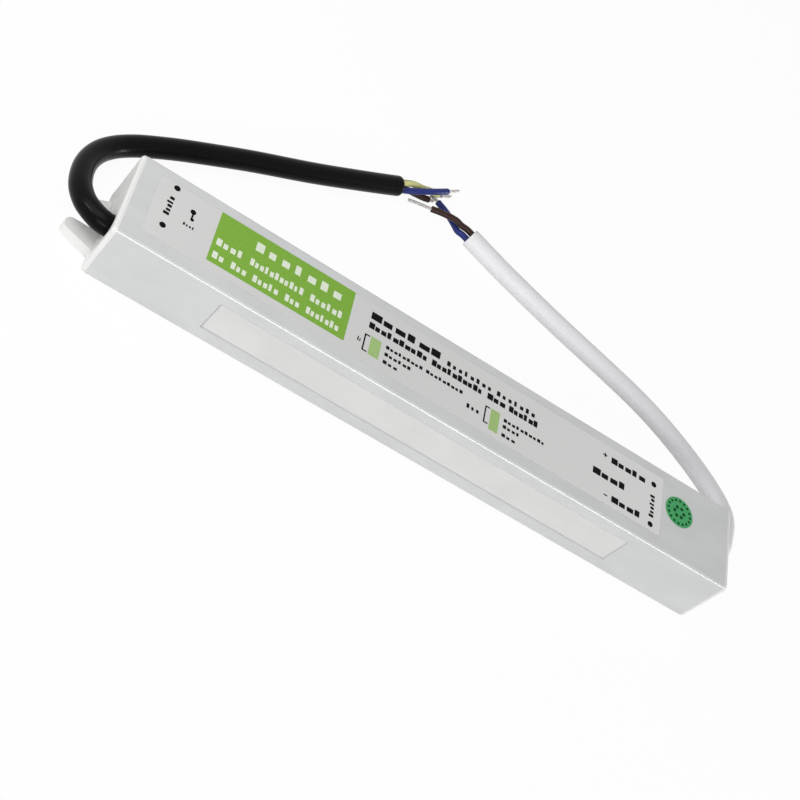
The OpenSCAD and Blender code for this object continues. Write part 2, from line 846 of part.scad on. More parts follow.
module optocoupler() {
    color("white") legged_chip(opto_at, [opto_l, opto_w, opto_h], 2, opto_pin);
}

// Transformer lying flat on a pinned base
core_z = board_top + bobbin_base_t;
window_l = core_l - 2 * yoke_t;
window_w = core_w - 2 * leg_w;
bobbin_base_w = window_w + 2 * bobbin_t;
middle_z = core_z + (core_h - middle_h) / 2;
tube_w = middle_w + 2 * bobbin_t;
tube_h = middle_h + 2 * bobbin_t;
coil_l = window_l - 2 * bobbin_t;
coil_w = window_w - 2 * bobbin_t;

module transformer_core() {
    color(ferrite) {
        difference() {
            box_on(transformer_at, [core_l, core_w, core_h], core_z);
            box_on(transformer_at, [window_l, window_w, core_h + 2 * fit], core_z - fit);
        }
        box_on(transformer_at, [window_l, middle_w, middle_h], middle_z);
    }
}

module transformer_bobbin() {
    color(black_resin) {
        box_on(transformer_at, [bobbin_l, bobbin_base_w, bobbin_base_t], board_top);
        pins(bobbin_pins, fit);
        difference() {
            union() {
                for (x = [-1, 1]) {
                    flange_at = transformer_at + [x * (window_l - bobbin_t) / 2, 0];
                    box_on(flange_at, [bobbin_t, window_w, core_h], core_z);
                }
                box_on(transformer_at, [window_l, tube_w, tube_h], middle_z - bobbin_t);
            }
            box_on(transformer_at, [window_l, middle_w, middle_h], middle_z);
        }
    }
}

module transformer_winding() {
    color("khaki") difference() {
        box_on(transformer_at, [coil_l, coil_w, core_h], core_z);
        box_on(transformer_at, [coil_l, tube_w, tube_h], middle_z - bobbin_t);
    }
}

module upright_can(at, list) {
    translate([at[0], at[1], board_top]) cylinder(d = out_cap_d, h = out_cap_h);
    pins(list, fit);
}

module output_capacitor_a() {
    color("midnightblue") upright_can(out_cap_a_at, out_cap_a_pins);
}

module output_capacitor_b() {
    color("midnightblue") upright_can(out_cap_b_at, out_cap_b_pins);
}

module output_choke_core() {
    color(ferrite) {
        translate([drum_at[0], drum_at[1], board_top]) {
            cylinder(d = drum_post_d, h = drum_h);
            for (z = [0, drum_h - drum_flange_t]) translate([0, 0, z]) cylinder(d = drum_d, h = drum_flange_t);
        }
        pins(drum_pins, fit);
    }
}

module output_choke_winding() {
    color(copper) translate([drum_at[0], drum_at[1], board_top + drum_flange_t]) difference() {
        cylinder(d = drum_d, h = drum_h - 2 * drum_flange_t);
        translate([0, 0, -fit]) cylinder(d = drum_post_d, h = drum_h);
    }
}

// Potting compound

// Room that the compound fills: the tube between the caps and the hollow of each cap
module compound_room() {
    along_x(-skirt_x, 2 * skirt_x) difference() {
        translate([0, wall]) plain_rect(inner_w, inner_h);
        rail_outlines(0);
    }
    along_x(-web_x, 2 * web_x) hollow_outline();
}

module potting() {
    color(compound_grey) difference() {
        compound_room();
        board_blank();
        insulating_sheet();
        for (turn = [0, 180]) rotate([0, 0, turn]) {
            rod_x([skirt_x, exit_offset, exit_z], boss_d, skirt_l + fit);
            rod_x([jacket_x, exit_offset, exit_z], cable_d, jacket_in + fit);
        }
        line_lead();
        neutral_lead();
        earth_lead();
        positive_lead();
        negative_lead();
        fuse();
        varistor();
        line_capacitor();
        line_choke_base();
        line_choke_core();
        line_choke_winding_a();
        line_choke_winding_b();
        bridge_rectifier();
        bulk_capacitor();
        safety_capacitor();
        switching_transistor();
        control_chip();
        optocoupler();
        transformer_bobbin();
        transformer_core();
        transformer_winding();
        output_rectifier();
        output_capacitor_a();
        output_capacitor_b();
        output_choke_core();
        output_choke_winding();
    }
}

// Labels

module rating_label() {
    color(film_white)
        translate([-tube_l / 2 + label_start, label_shift - label_w / 2, body_h])
            cube([label_l, label_w, film_t]);
}

module side_label() {
    color(film_white)
        translate([-tube_l / 2 + side_label_start, -body_w / 2 - film_t, side_label_z])
            cube([side_label_l, film_t, side_label_h]);
}

// The sticker lies on the tube, or on the rating label where that reaches under it
module round_sticker() {
    sticker_x = tube_l / 2 - sticker_end;
    on_label = sticker_x - sticker_d / 2 < -tube_l / 2 + label_start + label_l;
    color(sticker_green)
        translate([sticker_x, sticker_shift, body_h + (on_label ? film_t : 0)])
            cylinder(d = sticker_d, h = film_t);
}

housing();
input_end_cap();
output_end_cap();
input_cable();
input_core_blue();
input_core_brown();
input_core_earth();
input_strands_blue();
input_strands_brown();
input_strands_earth();
output_cable();
output_core_brown();
output_core_blue();
output_strands_brown();
output_strands_blue();
line_lead();
neutral_lead();
earth_lead();
positive_lead();
negative_lead();
circuit_board();
insulating_sheet();
fuse();
varistor();
line_capacitor();
line_choke_base();
line_choke_core();
line_choke_winding_a();
line_choke_winding_b();
bridge_rectifier();
bulk_capacitor();
safety_capacitor();
switching_transistor();
control_chip();
optocoupler();
transformer_bobbin();
transformer_core();
transformer_winding();
output_rectifier();
output_capacitor_a();
output_capacitor_b();
output_choke_core();
output_choke_winding();
potting();
rating_label();
side_label();
round_sticker();
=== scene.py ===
import json
import math

import bmesh
import bpy
from mathutils import Matrix, Vector


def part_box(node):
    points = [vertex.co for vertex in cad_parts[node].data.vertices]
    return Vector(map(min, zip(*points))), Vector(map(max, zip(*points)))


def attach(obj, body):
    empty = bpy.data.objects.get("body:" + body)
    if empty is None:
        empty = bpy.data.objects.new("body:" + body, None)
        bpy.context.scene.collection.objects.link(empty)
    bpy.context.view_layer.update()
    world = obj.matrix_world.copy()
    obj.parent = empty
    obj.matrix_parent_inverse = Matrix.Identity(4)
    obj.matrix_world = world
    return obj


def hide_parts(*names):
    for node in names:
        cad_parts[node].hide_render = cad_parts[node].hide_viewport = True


# Looks of a slim potted LED driver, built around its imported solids
# Lengths are in metres, and lists in millimetres are turned into metres where they are used

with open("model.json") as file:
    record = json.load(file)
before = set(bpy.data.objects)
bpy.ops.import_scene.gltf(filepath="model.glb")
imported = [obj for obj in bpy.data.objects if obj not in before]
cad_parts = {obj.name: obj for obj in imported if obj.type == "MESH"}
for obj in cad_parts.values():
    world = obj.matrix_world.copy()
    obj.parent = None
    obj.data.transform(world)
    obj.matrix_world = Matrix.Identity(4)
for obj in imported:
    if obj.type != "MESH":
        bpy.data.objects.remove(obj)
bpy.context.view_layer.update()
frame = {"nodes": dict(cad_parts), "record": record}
nodes = frame["nodes"]
MM = 0.001

# Places taken from the solids
tube_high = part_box("housing")[1]
label_low, label_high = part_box("rating_label")
panel_low, panel_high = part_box("side_label")
sticker_low, sticker_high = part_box("round_sticker")
flange_t = 1.3 * MM
cap_face = tube_high.x + flange_t

# Sizes of the cables: the jacket, its insulated cores, and the bundle of bare wires in each core
jacket_r = 3.25 * MM
core_r = 1.05 * MM
core_run = 2 * MM
bundle_r = 0.55 * MM

# Cord routes in millimetres: X from the rim of the cap, Y and Z in the part's frame
# Where a cable lies on the floor, its middle is at the height lie_z
lie_z = 3.3
input_route = [
    (0.9, -5, 10.2), (-0.3, -5, 10.2), (-1.6, -4.75, 10.15), (-2.8, -4.2, 9.95), (-4, -3.3, 9.6),
    (-5.4, -2.1, 9.2), (-6.7, -0.7, 8.7), (-8.2, 1.8, 7.95), (-9.45, 4.75, 7.2), (-10.2, 8.1, 6.45),
    (-10.55, 11.9, 5.7), (-10.45, 15.6, 5), (-9.75, 19.5, 4.4), (-8.5, 23.1, 3.95), (-6.8, 26.2, 3.6),
    (-4, 29.8, lie_z), (0, 33.4, lie_z), (4.2, 36.5, lie_z), (11, 41, lie_z), (18.1, 45.3, lie_z),
    (33, 53.9, lie_z), (48.5, 62.1, lie_z), (56.5, 66.5, lie_z), (64.6, 71.2, lie_z), (72.9, 76.1, lie_z),
    (81, 81, lie_z),
]
output_route = [
    (-0.9, 5, 10.2), (0.3, 5, 10.2), (1.6, 5.25, 10.15), (2.8, 5.9, 9.95), (4, 6.9, 9.6),
    (5.3, 8.6, 9.1), (6.6, 11, 8.5), (7.6, 13.7, 7.8), (8.4, 16.4, 7.1), (9.3, 19.2, 6.4),
    (10.1, 22.5, 5.6), (10.5, 25.9, 4.8), (10, 29.3, 4.1), (8.5, 32.5, 3.6),
    (6, 35.6, lie_z), (2.6, 38.5, lie_z), (-3.6, 42.9, lie_z),
    (-12.5, 48.2, lie_z), (-21.3, 52.5, lie_z), (-30, 55.8, lie_z), (-38.7, 58.5, lie_z), (-47.3, 61, lie_z),
    (-64.4, 66, lie_z), (-81.5, 71.7, lie_z), (-90, 74.9, lie_z), (-98.8, 78.5, lie_z),
]

# Each bared core: its seat in the end of the jacket as side and height, its route, and its bare strands
input_cores = {
    "blue": (
        (-1.2, -0.3),
        [(86.2, 82.2, 3.8), (89, 83.6, 4.6), (93.1, 86.3, 5.1), (97.3, 89.7, 5.1)],
        [(99.4, 91.6, 5), (101.3, 93.4, 4.9)],
    ),
    "earth": (
        (0.75, 1),
        [(85.4, 84.8, 4), (89.3, 86.5, 3.3), (92.4, 88, 2.9), (95.6, 88.6, 2.8)],
        [(98, 90.2, 2.5), (100.2, 92, 2.2)],
    ),
    "brown": (
        (0.8, -1.2),
        [(85.3, 83.8, 1.6), (88.3, 84.6, 1.3), (91, 85.2, 1.2), (93.3, 86, 1.15)],
        [(95, 86.5, 1)],
    ),
}
output_cores = {
    "brown": (
        (-0.95, 0.7),
        [(-103, 80.3, 4.1), (-105.4, 80.8, 4.3), (-109.5, 81.2, 3.5), (-113.9, 81, 2.6)],
        [(-118, 80.4, 2.2), (-122, 79.9, 1.6)],
    ),
    "blue": (
        (0.95, -0.7),
        [(-102.7, 79.8, 1.7), (-104.6, 82.2, 1.4), (-107.6, 85.3, 1.1), (-111.6, 87.5, 1.1)],
        [(-113.4, 88.4, 0.9), (-114.4, 88.8, 0.7)],
    ),
}


# Materials
# Noise stays mostly between these two values
noise_low = 0.3
noise_high = 0.7


def material(name, base, roughness, metallic=0.0, specular=0.5, coat=0.0):
    """A new material with plain values on its shader: the detail is added to it afterwards."""
    made = bpy.data.materials.new(name)
    made.use_nodes = True
    shader = made.node_tree.nodes["Principled BSDF"]
    shader.inputs["Base Color"].default_value = (*base, 1)
    shader.inputs["Roughness"].default_value = roughness
    shader.inputs["Metallic"].default_value = metallic
    shader.inputs["Specular IOR Level"].default_value = specular
    shader.inputs["Coat Weight"].default_value = coat
    return made


def grain(made, stretch, detail=3.0, source="Object"):
    """Noise whose repeats along X, Y and Z, per metre, are given by stretch."""
    tree = made.node_tree
    place = tree.nodes.new("ShaderNodeTexCoord")
    mapping = tree.nodes.new("ShaderNodeMapping")
    mapping.inputs["Scale"].default_value = stretch
    noise = tree.nodes.new("ShaderNodeTexNoise")
    noise.inputs["Scale"].default_value = 1
    noise.inputs["Detail"].default_value = detail
    tree.links.new(place.outputs[source], mapping.inputs["Vector"])
    tree.links.new(mapping.outputs["Vector"], noise.inputs["Vector"])
    return noise.outputs["Fac"]


def tint(made, value, low, high, start=0.35, end=0.65):
    """Colours the surface between low and high as a value goes from start to end."""
    tree = made.node_tree
    ramp = tree.nodes.new("ShaderNodeValToRGB")
    ramp.color_ramp.elements[0].position = start
    ramp.color_ramp.elements[1].position = end
    ramp.color_ramp.elements[0].color = (*low, 1)
    ramp.color_ramp.elements[1].color = (*high, 1)
    tree.links.new(value, ramp.inputs["Fac"])
    tree.links.new(ramp.outputs["Color"], tree.nodes["Principled BSDF"].inputs["Base Color"])


def vary_roughness(made, value, low, high):
    """Lets the roughness follow a value from low to high."""
    tree = made.node_tree
    span = tree.nodes.new("ShaderNodeMapRange")
    span.inputs["From Min"].default_value = noise_low
    span.inputs["From Max"].default_value = noise_high
    span.inputs["To Min"].default_value = low
    span.inputs["To Max"].default_value = high
    tree.links.new(value, span.inputs["Value"])
    tree.links.new(span.outputs["Result"], tree.nodes["Principled BSDF"].inputs["Roughness"])


def bump(made, value, depth, strength=0.5):
    """Raises the surface by a value, over a depth in metres."""
    tree = made.node_tree
    relief = tree.nodes.new("ShaderNodeBump")
    relief.inputs["Strength"].default_value = strength
    relief.inputs["Distance"].default_value = depth
    tree.links.new(value, relief.inputs["Height"])
    tree.links.new(relief.outputs["Normal"], tree.nodes["Principled BSDF"].inputs["Normal"])


def shade(colour, factor):
    """A colour made darker or paler by a factor."""
    return tuple(min(1.0, c * factor) for c in colour)


def textured(name, base, roughness, stretch, depth, spread=0.06, **values):
    """A material whose colour, roughness and relief follow one grain."""
    made = material(name, base, roughness, **values)
    value = grain(made, stretch)
    tint(made, value, shade(base, 1 - spread), shade(base, 1 + spread))
    vary_roughness(made, value, roughness - 0.05, roughness + 0.05)
    bump(made, value, depth)
    return made


def extruded_aluminium():
    """Satin anodised metal with fine lines along the tube."""
    base = (0.597, 0.602, 0.607)
    made = material("anodised_aluminium", base, 0.2, metallic=0.2)
    lines = grain(made, (14, 5200, 5200), detail=2)
    clouds = grain(made, (60, 160, 160), detail=3)
    tint(made, clouds, shade(base, 0.97), shade(base, 1.03))
    vary_roughness(made, lines, 0.18, 0.22)
    bump(made, lines, 0.000004, strength=0.12)
    return made


def moulded_plastic(name, base, roughness=0.45):
    """Plastic with the fine sparked skin of a mould."""
    return textured(name, base, roughness, (3800, 3800, 3800), 0.00002, spread=0.02)


def jacket(name, base, roughness, specular=0.5):
    """Cable sheath with faint lines along its length and the low waves of the cores under it."""
    made = material(name, base, roughness, specular=specular)
    lines = grain(made, (40, 6, 1), detail=3, source="UV")
    spots = grain(made, (2600, 2600, 2600), detail=4)
    tint(made, spots, shade(base, 0.94), shade(base, 1.06))
    vary_roughness(made, spots, roughness - 0.06, roughness + 0.06)
    bump(made, lines, 0.00006, strength=0.35)
    return made


def insulation(name, base):
    """Core insulation with a soft gloss and faint drawing lines."""
    made = material(name, base, 0.36, specular=0.2)
    lines = grain(made, (24, 400, 1), detail=2, source="UV")
    tint(made, lines, shade(base, 0.86), shade(base, 1.14))
    vary_roughness(made, lines, 0.24, 0.36)
    return made


def earth_insulation():
    """Green and yellow insulation: two stripes that wind slowly round the core."""
    yellow = (0.62, 0.61, 0.25)
    green = (0.16, 0.25, 0.11)
    made = material("earth_insulation", yellow, 0.36, specular=0.3)
    tree = made.node_tree
    place = tree.nodes.new("ShaderNodeTexCoord")
    wave = tree.nodes.new("ShaderNodeTexWave")
    wave.inputs["Scale"].default_value = 1
    wave.inputs["Distortion"].default_value = 0.3
    mapping = tree.nodes.new("ShaderNodeMapping")
    mapping.inputs["Scale"].default_value = (0.31, 12, 1)
    mapping.inputs["Rotation"].default_value = (0, 0, 0.2)
    tree.links.new(place.outputs["UV"], mapping.inputs["Vector"])
    tree.links.new(mapping.outputs["Vector"], wave.inputs["Vector"])
    tint(made, wave.outputs["Fac"], yellow, green, 0.42, 0.52)
    return made


def tinned_copper():
    """Dull bright metal of the bare wires."""
    base = (0.56, 0.55, 0.53)
    made = material("tinned_copper", base, 0.34, metallic=1)
    spots = grain(made, (2400, 2400, 2400), detail=3)
    tint(made, spots, shade(base, 0.7), shade(base, 1.2))
    vary_roughness(made, spots, 0.26, 0.46)
    return made


def share_along(made, low, high):
    """Share of the way from one place to another along X."""
    tree = made.node_tree
    place = tree.nodes.new("ShaderNodeTexCoord")
    axes = tree.nodes.new("ShaderNodeSeparateXYZ")
    span = tree.nodes.new("ShaderNodeMapRange")
    span.inputs["From Min"].default_value = low
    span.inputs["From Max"].default_value = high
    tree.links.new(place.outputs["Object"], axes.inputs["Vector"])
    tree.links.new(axes.outputs["X"], span.inputs["Value"])
    return span.outputs["Result"]


def printed_film(name, base, roughness):
    """Label film: even, with the faint orange peel of its varnish."""
    made = material(name, base, roughness)
    peel = grain(made, (1500, 1500, 1500), detail=2)
    clouds = grain(made, (70, 90, 90), detail=3)
    tint(made, clouds, shade(base, 0.97), shade(base, 1.03))
    vary_roughness(made, peel, roughness - 0.05, roughness + 0.05)
    bump(made, peel, 0.000006, strength=0.3)
    return made


def rating_film():
    """Film of the large label, with painted light: its colour is made paler towards the output end to even
    out the lamp light that falls off there.
    """
    base = (0.62, 0.625, 0.615)
    made = printed_film("rating_film", base, 0.46)
    # Painted light: paler towards the output end, making up for the weaker lamp light there
    tint(made, share_along(made, label_low.x, label_high.x), base, shade(base, 1.2), 0.4, 1)
    return made


def ink(name, base, specular=0.15):
    """Screen-printed ink, a little uneven in its cover."""
    return textured(name, base, 0.55, (2200, 2200, 2200), 0.000004, spread=0.08, specular=specular)


def wound(name, base, turns):
    """Coil of wire: close rings across the height of the coil."""
    made = material(name, base, 0.35, metallic=0.8)
    value = grain(made, (60, 60, turns), detail=1)
    tint(made, value, shade(base, 0.6), shade(base, 1.2))
    bump(made, value, 0.00015)
    return made


# Grain of the smooth and of the coarse surfaces, in repeats per metre
fine = (2600, 2600, 2600)
coarse = (900, 900, 900)
finishes = {
    "anodised_aluminium": extruded_aluminium(),
    "white_plastic": moulded_plastic("white_plastic", (0.75, 0.75, 0.735)),
    "black_jacket": jacket("black_jacket", (0.0016, 0.0016, 0.0016), 0.26, specular=0.08),
    "white_jacket": jacket("white_jacket", (0.765, 0.765, 0.78), 0.42, specular=0.4),
    "blue_insulation": insulation("blue_insulation", (0.016, 0.026, 0.16)),
    "brown_insulation": insulation("brown_insulation", (0.03, 0.012, 0.009)),
    "earth_insulation": earth_insulation(),
    "tinned_copper": tinned_copper(),
    "board_laminate": textured("board_laminate", (0.012, 0.14, 0.045), 0.35, coarse, 0.00003, coat=0.3),
    "insulating_film": textured("insulating_film", (0.74, 0.74, 0.7), 0.25, fine, 0.00001),
    "black_resin": moulded_plastic("black_resin", (0.012, 0.012, 0.013)),
    "white_resin": moulded_plastic("white_resin", (0.75, 0.75, 0.72)),
    "blue_coating": textured("blue_coating", (0.03, 0.11, 0.32), 0.3, coarse, 0.00005),
    "yellow_case": moulded_plastic("yellow_case", (0.6, 0.35, 0.02)),
    "ferrite": textured("ferrite", (0.035, 0.035, 0.038), 0.55, (3200, 3200, 3200), 0.00005),
    "enamelled_copper": wound("enamelled_copper", (0.5, 0.2, 0.06), 3000),
    "capacitor_sleeve": textured("capacitor_sleeve", (0.008, 0.012, 0.06), 0.25, fine, 0.00001),
    "winding_tape": textured("winding_tape", (0.66, 0.5, 0.1), 0.3, (900, 900, 2400), 0.00003),
    "potting_compound": textured("potting_compound", (0.06, 0.062, 0.068), 0.5, (500, 500, 500), 0.0001),
    "rating_film": rating_film(),
    "bare_film": printed_film("bare_film", (0.64, 0.64, 0.63), 0.5),
    "green_film": printed_film("green_film", (0.018, 0.315, 0.08), 0.4),
}
black_ink = ink("black_ink", (0.004, 0.004, 0.004), specular=0.04)
green_ink = ink("green_ink", (0.205, 0.41, 0.05))
pale_green_ink = ink("pale_green_ink", (0.36, 0.53, 0.2))
white_ink = ink("white_ink", (0.74, 0.8, 0.66))
dark_green_ink = ink("dark_green_ink", (0.004, 0.06, 0.018), specular=0.05)
# Grey of the painted shadow line along the edges of the bare film on the front face
edge_shade_ink = ink("edge_shade_ink", (0.44, 0.445, 0.45))

for entry in frame["record"]["subparts"]:
    surface = nodes[entry["node"]].data
    surface.materials.clear()
    surface.materials.append(finishes[entry["material_slot"]])


# Meshes


def link(mesh, name, finish):
    """Puts a mesh in the scene as a piece that rides with the driver."""
    piece = bpy.data.objects.new(name, mesh)
    bpy.context.scene.collection.objects.link(piece)
    mesh.materials.append(finish)
    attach(piece, "root")
    return piece


def smooth(points, step):
    """Points about one step apart on a smooth curve through the given points."""
    ends = [2 * points[0] - points[1], *points, 2 * points[-1] - points[-2]]
    curve = []
    for a, b, c, d in zip(ends, ends[1:], ends[2:], ends[3:]):
        count = max(2, round((c - b).length / step))
        for i in range(count):
            t = i / count
            bend = (2 * a - 5 * b + 4 * c - d) * t ** 2 + (3 * b - a - 3 * c + d) * t ** 3
            curve.append((2 * b + (c - a) * t + bend) / 2)
    return [*curve, points[-1]]


def path_frames(path):
    """Heading, side and top vectors along a path, carried on without twist."""
    headings = []
    for i in range(len(path)):
        before = path[max(i - 1, 0)]
        after = path[min(i + 1, len(path) - 1)]
        headings.append((after - before).normalized())
    top = (Vector((0, 0, 1)) - headings[0] * headings[0].z).normalized()
    frames = []
    for heading in headings:
        top = (top - heading * top.dot(heading)).normalized()
        frames.append((heading, heading.cross(top), top))
    return frames


class Tubes:
    """Collects swept tubes, with a map of turn and length, into one mesh."""

    def __init__(self, sides):
        self.sides = sides
        self.points = []
        self.faces = []
        self.map = []

    def add(self, path, radius, start=(), end=()):
        """A tube along a path. start and end list (distance, share of the radius) for rings at its ends."""
        frames = path_frames(path)
        rings = []
        for distance, share in start:
            rings.append((path[0] + frames[0][0] * distance, frames[0], share * radius, distance))
        run = 0.0
        for i, place in enumerate(path):
            if i:
                run += (place - path[i - 1]).length
            if (i == 0 and start) or (i == len(path) - 1 and end):
                continue
            rings.append((place, frames[i], radius, run))
        for distance, share in end:
            rings.append((path[-1] + frames[-1][0] * distance, frames[-1], share * radius, run + distance))
        first = len(self.points)
        for place, (_, side, top), r, _ in rings:
            for k in range(self.sides):
                turn = 2 * math.pi * k / self.sides
                self.points.append(place + r * (math.cos(turn) * side + math.sin(turn) * top))
        for i in range(len(rings) - 1):
            low, high = rings[i][3], rings[i + 1][3]
            for k in range(self.sides):
                a = first + i * self.sides + k
                b = first + i * self.sides + (k + 1) % self.sides
                self.faces.append((a, b, b + self.sides, a + self.sides))
                u, w = k / self.sides, (k + 1) / self.sides
                self.map.append(((u, low), (w, low), (w, high), (u, high)))
        last = first + (len(rings) - 1) * self.sides
        for ring, along in ((range(first + self.sides - 1, first - 1, -1), rings[0][3]),
                            (range(last, last + self.sides), rings[-1][3])):
            self.faces.append(tuple(ring))
            self.map.append(tuple((k / self.sides, along) for k in range(self.sides)))

    def mesh(self, name):
        made = bpy.data.meshes.new(name)
        made.from_pydata(self.points, [], self.faces)
        layer = made.uv_layers.new(name="length")
        for face, spots in zip(made.polygons, self.map):
            for loop, spot in zip(face.loop_indices, spots):
                layer.data[loop].uv = spot
        made.polygons.foreach_set("use_smooth", [True] * len(made.polygons))
        made.set_sharp_from_angle(angle=math.radians(40))
        return made


# Cables


def to_frame(points, cap_x):
    """Points in millimetres from the rim of a cap, as places in metres in the part's frame."""
    return [Vector((x * MM + cap_x, y * MM, z * MM)) for x, y, z in points]


# Rings at the cut ends of a jacket, a core and a wire: distance in metres and share of the radius
jacket_end = [(-0.0007, 1), (-0.0003, 0.985), (-0.00008, 0.95), (0, 0.9), (0, 0.8), (-0.0011, 0.77)]
core_end = [(-0.0003, 1), (-0.00008, 0.97), (0, 0.88), (0, 0.5)]
middle_wire_end = [(0, 1), (0.00008, 0.6)]
wire_end = [(0, 1), (0.00006, 0.6)]

# How far a jacket reaches into its cap, and a core or a strand into what holds it
inside_cap = 0.6 * MM
recess = 1.0 * MM

# Sides of the swept tubes, and the steps along their paths
jacket_sides = 40
core_sides = 24
wire_sides = 8
jacket_step = 0.8 * MM
core_step = 0.4 * MM
wire_step = 0.3 * MM

# Bare wires of one core
wire_count = 8
wire_r = 0.155 * MM
middle_wire_r = 0.24 * MM
wire_pitch = 9 * MM
wire_lengths = 4


def strand_wires(path):
    """Bare wires twisted round a middle one, each a little longer or shorter than the next."""
    tubes = Tubes(wire_sides)
    tubes.add(path, middle_wire_r, end=middle_wire_end)
    frames = path_frames(path)
    for k in range(wire_count):
        run = 0.0
        wire = []
        for i, place in enumerate(path):
            if i:
                run += (place - path[i - 1]).length
            turn = 2 * math.pi * (k / wire_count + run / wire_pitch)
            _, side, top = frames[i]
            wire.append(place + (bundle_r - wire_r) * (math.cos(turn) * side + math.sin(turn) * top))
        cut = len(wire) - k % wire_lengths
        tubes.add(wire[:cut], wire_r, end=wire_end)
    return tubes


def bared_cores(prefix, cores, jacket_path, cap_x):
    """The insulated cores and bare strands at the end of a cable."""
    heading = (jacket_path[-1] - jacket_path[-2]).normalized()
    side = Vector((0, 0, 1)).cross(heading).normalized()
    top = heading.cross(side)
    pieces = []
    for colour, (seat, core_points, bare_points) in cores.items():
        seat_place = jacket_path[-1] + side * seat[0] * MM + top * seat[1] * MM
        core_knots = [
            seat_place - heading * recess,
            seat_place + heading * core_run,
            *to_frame(core_points, cap_x),
        ]
        core_path = smooth(core_knots, core_step)
        tubes = Tubes(core_sides)
        tubes.add(core_path, core_r, end=core_end)
        name = f"{prefix}_core_{colour}"
        slot = f"{colour}_insulation"
        core = link(tubes.mesh(name), name, finishes[slot])
        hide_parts(name)
        leaving = (core_path[-1] - core_path[-2]).normalized()
        bare_knots = [
            core_path[-1] - leaving * recess,
            core_path[-1] + leaving * 2 * bundle_r,
            *to_frame(bare_points, cap_x),
        ]
        name = f"{prefix}_strands_{colour}"
        wires = strand_wires(smooth(bare_knots, wire_step))
        strands = link(wires.mesh(name), name, finishes["tinned_copper"])
        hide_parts(name)
        pieces += [core, strands]
    return pieces


def cable(name, prefix, route, cap_x, cores, slot):
    """One cable: its jacket from inside the cap to its cut end, and its bared cores."""
    knots = to_frame(route, cap_x)
    path = smooth(knots, jacket_step)
    tubes = Tubes(jacket_sides)
    tubes.add(path, jacket_r, start=[(-inside_cap, 0.98), (0, 1)], end=jacket_end)
    piece = link(tubes.mesh(name), name, finishes[slot])
    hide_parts(name)
    pieces = bared_cores(prefix, cores, path, cap_x)


cable("input_cable", "input", input_route, -cap_face, input_cores, "black_jacket")
cable("output_cable", "output", output_route, cap_face, output_cores, "white_jacket")


# Print: thin shapes of ink on the films, as outlines in millimetres
ink_t = 0.03 * MM
corner_steps = 4

# Width of each block of a word as a share of the word's fill, and its height as a share of the row
block_widths = (1, 0.84, 0.94, 0.7, 1, 0.88)
block_heights = (1, 0.74, 0.74, 1, 0.74)


def box_outline(x0, y0, x1, y1, r=0.15):
    """Rectangle with round corners, which stay just apart on a short side."""
    r = min(r, (x1 - x0) / 2.01, (y1 - y0) / 2.01)
    corners = ((x1 - r, y0 + r, 270), (x1 - r, y1 - r, 0), (x0 + r, y1 - r, 90), (x0 + r, y0 + r, 180))
    outline = []
    for cx, cy, first in corners:
        for step in range(corner_steps + 1):
            turn = math.radians(first + step * 90 / corner_steps)
            outline.append((cx + r * math.cos(turn), cy + r * math.sin(turn)))
    return outline


def disc_outline(x, y, r, sides=28):
    """Circle drawn with short straight sides."""
    turns = [2 * math.pi * k / sides for k in range(sides)]
    return [(x + r * math.cos(turn), y + r * math.sin(turn)) for turn in turns]


def block_word(x0, x1, y0, y1, count, fill):
    """Blocks in place of a word, some as tall as the row and some lower."""
    pitch = (x1 - x0) / count
    blocks = []
    for i in range(count):
        share = fill * block_widths[i % len(block_widths)]
        height = block_heights[i % len(block_heights)]
        left = x0 + i * pitch
        blocks.append(box_outline(left, y0, left + share * pitch, y0 + (y1 - y0) * height))
    return blocks


def block_rows(rows):
    """Blocks of several rows: bottom, top and fill of a row, and left, right and count of each word."""
    blocks = []
    for y0, y1, fill, words in rows:
        for x0, x1, count in words:
            blocks += block_word(x0, x1, y0, y1, count, fill)
    return blocks


def turned(outlines, x, y):
    """Outlines turned a quarter to the left about their origin and moved to a place."""
    return [[(x - b, y + a) for a, b in outline] for outline in outlines]


def print_layer(name, outlines, finish, base, face="top"):
    """Ink of the given outlines on the top film, at the height base, or on the front film, at that depth."""
    build = bmesh.new()
    for outline in outlines:
        low = [build.verts.new((x * MM, y * MM, 0)) for x, y in outline]
        high = [build.verts.new((x * MM, y * MM, ink_t)) for x, y in outline]
        build.faces.new(list(reversed(low)))
        build.faces.new(high)
        for k in range(len(outline)):
            after = (k + 1) % len(outline)
            build.faces.new((low[k], low[after], high[after], high[k]))
    if face == "top":
        place = Matrix.Translation((0, 0, base))
    else:
        place = Matrix.Translation((0, base, 0)) @ Matrix.Rotation(math.radians(90), 4, "X")
    build.transform(place)
    mesh = bpy.data.meshes.new(name)
    build.to_mesh(mesh)
    build.free()
    link(mesh, name, finish)


label_top = label_high.z
dot_r = 0.95

